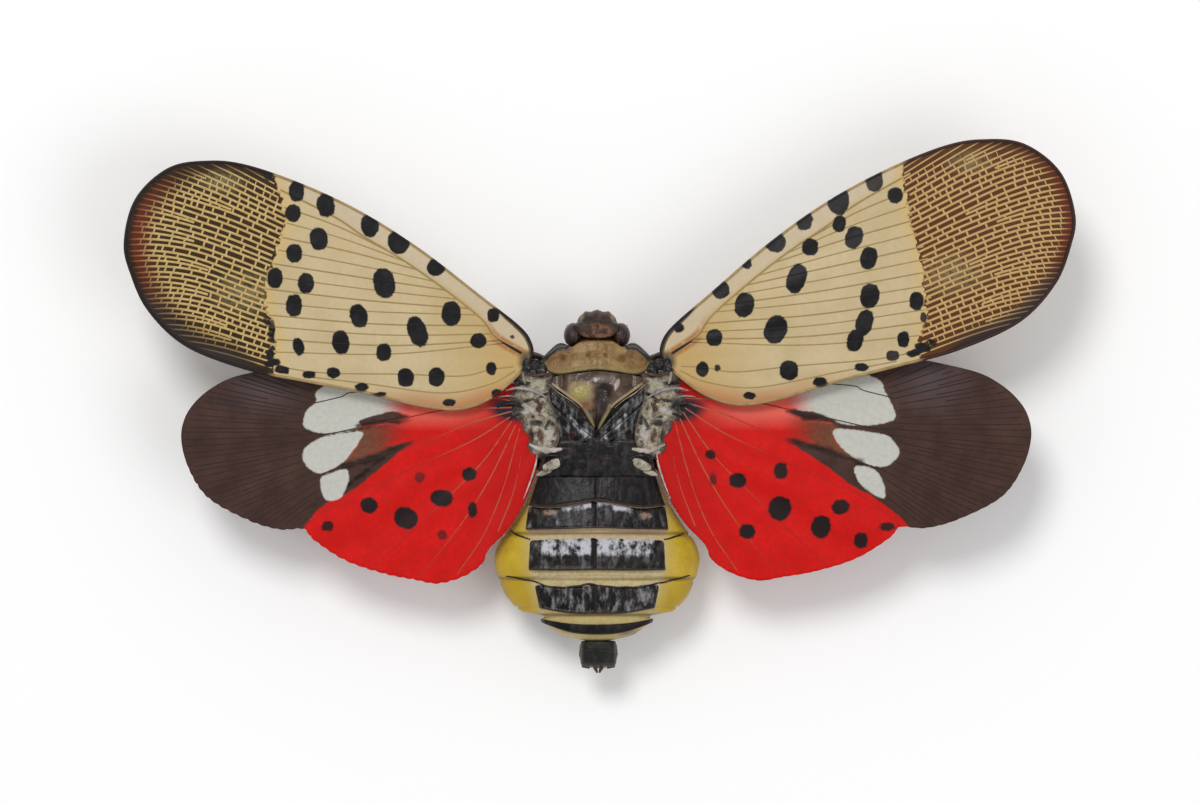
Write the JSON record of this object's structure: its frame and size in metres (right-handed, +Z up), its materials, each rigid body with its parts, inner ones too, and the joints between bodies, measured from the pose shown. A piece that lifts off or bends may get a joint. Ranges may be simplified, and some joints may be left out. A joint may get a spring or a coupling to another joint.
{
  "type": "spotted lanternfly",
  "caption": "Spread-wing spotted lanternfly, life size: spotted tan forewings, red, white and brown hindwings, and a black-banded yellow abdomen, standing on its feet.",
  "frame": {"origin": "on the floor, under the middle of the insect's outline seen from above, on the body's midline", "axes": "+Z up, -Y towards the head, +X towards the insect's left wings"},
  "size_m": [0.0487, 0.0275, 0.0067],
  "materials": {
    "shell_black": "glossy black plates with a grey-white wax bloom",
    "face_brown": "satin dark brown shell",
    "eye_dark": "finely faceted, glossy",
    "antenna_orange": "pitted, satin",
    "pronotum_tan": "wrinkled olive tan with dark specks",
    "mesonotum_brown": "glossy brown-grey with a pale green patch",
    "membrane_cream": "soft folded membrane, cream with grey mottling",
    "abdomen_yellow": "soft yellow side skin under black plates",
    "forewing_tan": "waxy tan wing with black spots and a netted tip",
    "hindwing_red": "waxy wing, red root, white band, dark brown tip",
    "leg_brown": "satin black-brown shell"
  },
  "bodies": {
    "root": {"prothorax": "membrane_cream", "mesothorax": "membrane_cream", "metathorax": "shell_black", "abdomen_1": "abdomen_yellow", "abdomen_2": "abdomen_yellow", "abdomen_3": "abdomen_yellow", "abdomen_4": "abdomen_yellow", "abdomen_5": "abdomen_yellow", "ovipositor": "shell_black", "head": "face_brown", "pronotum": "pronotum_tan", "mesonotum": "mesonotum_brown", "beak": "face_brown", "eye_left": "eye_dark", "antenna_left": "antenna_orange", "tegula_left": "membrane_cream", "wing_root_left": "membrane_cream", "forewing_left": "forewing_tan", "hindwing_left": "hindwing_red", "coxa_front_left": "leg_brown", "femur_front_left": "leg_brown", "tibia_front_left": "leg_brown", "tarsus_front_left": "leg_brown", "coxa_middle_left": "leg_brown", "femur_middle_left": "leg_brown", "tibia_middle_left": "leg_brown", "tarsus_middle_left": "leg_brown", "coxa_hind_left": "leg_brown", "femur_hind_left": "leg_brown", "tibia_hind_left": "leg_brown", "tarsus_hind_left": "leg_brown", "eye_right": "eye_dark", "antenna_right": "antenna_orange", "tegula_right": "membrane_cream", "wing_root_right": "membrane_cream", "forewing_right": "forewing_tan", "hindwing_right": "hindwing_red", "coxa_front_right": "leg_brown", "femur_front_right": "leg_brown", "tibia_front_right": "leg_brown", "tarsus_front_right": "leg_brown", "coxa_middle_right": "leg_brown", "femur_middle_right": "leg_brown", "tibia_middle_right": "leg_brown", "tarsus_middle_right": "leg_brown", "coxa_hind_right": "leg_brown", "femur_hind_right": "leg_brown", "tibia_hind_right": "leg_brown", "tarsus_hind_right": "leg_brown"}
  },
  "joints": []
}
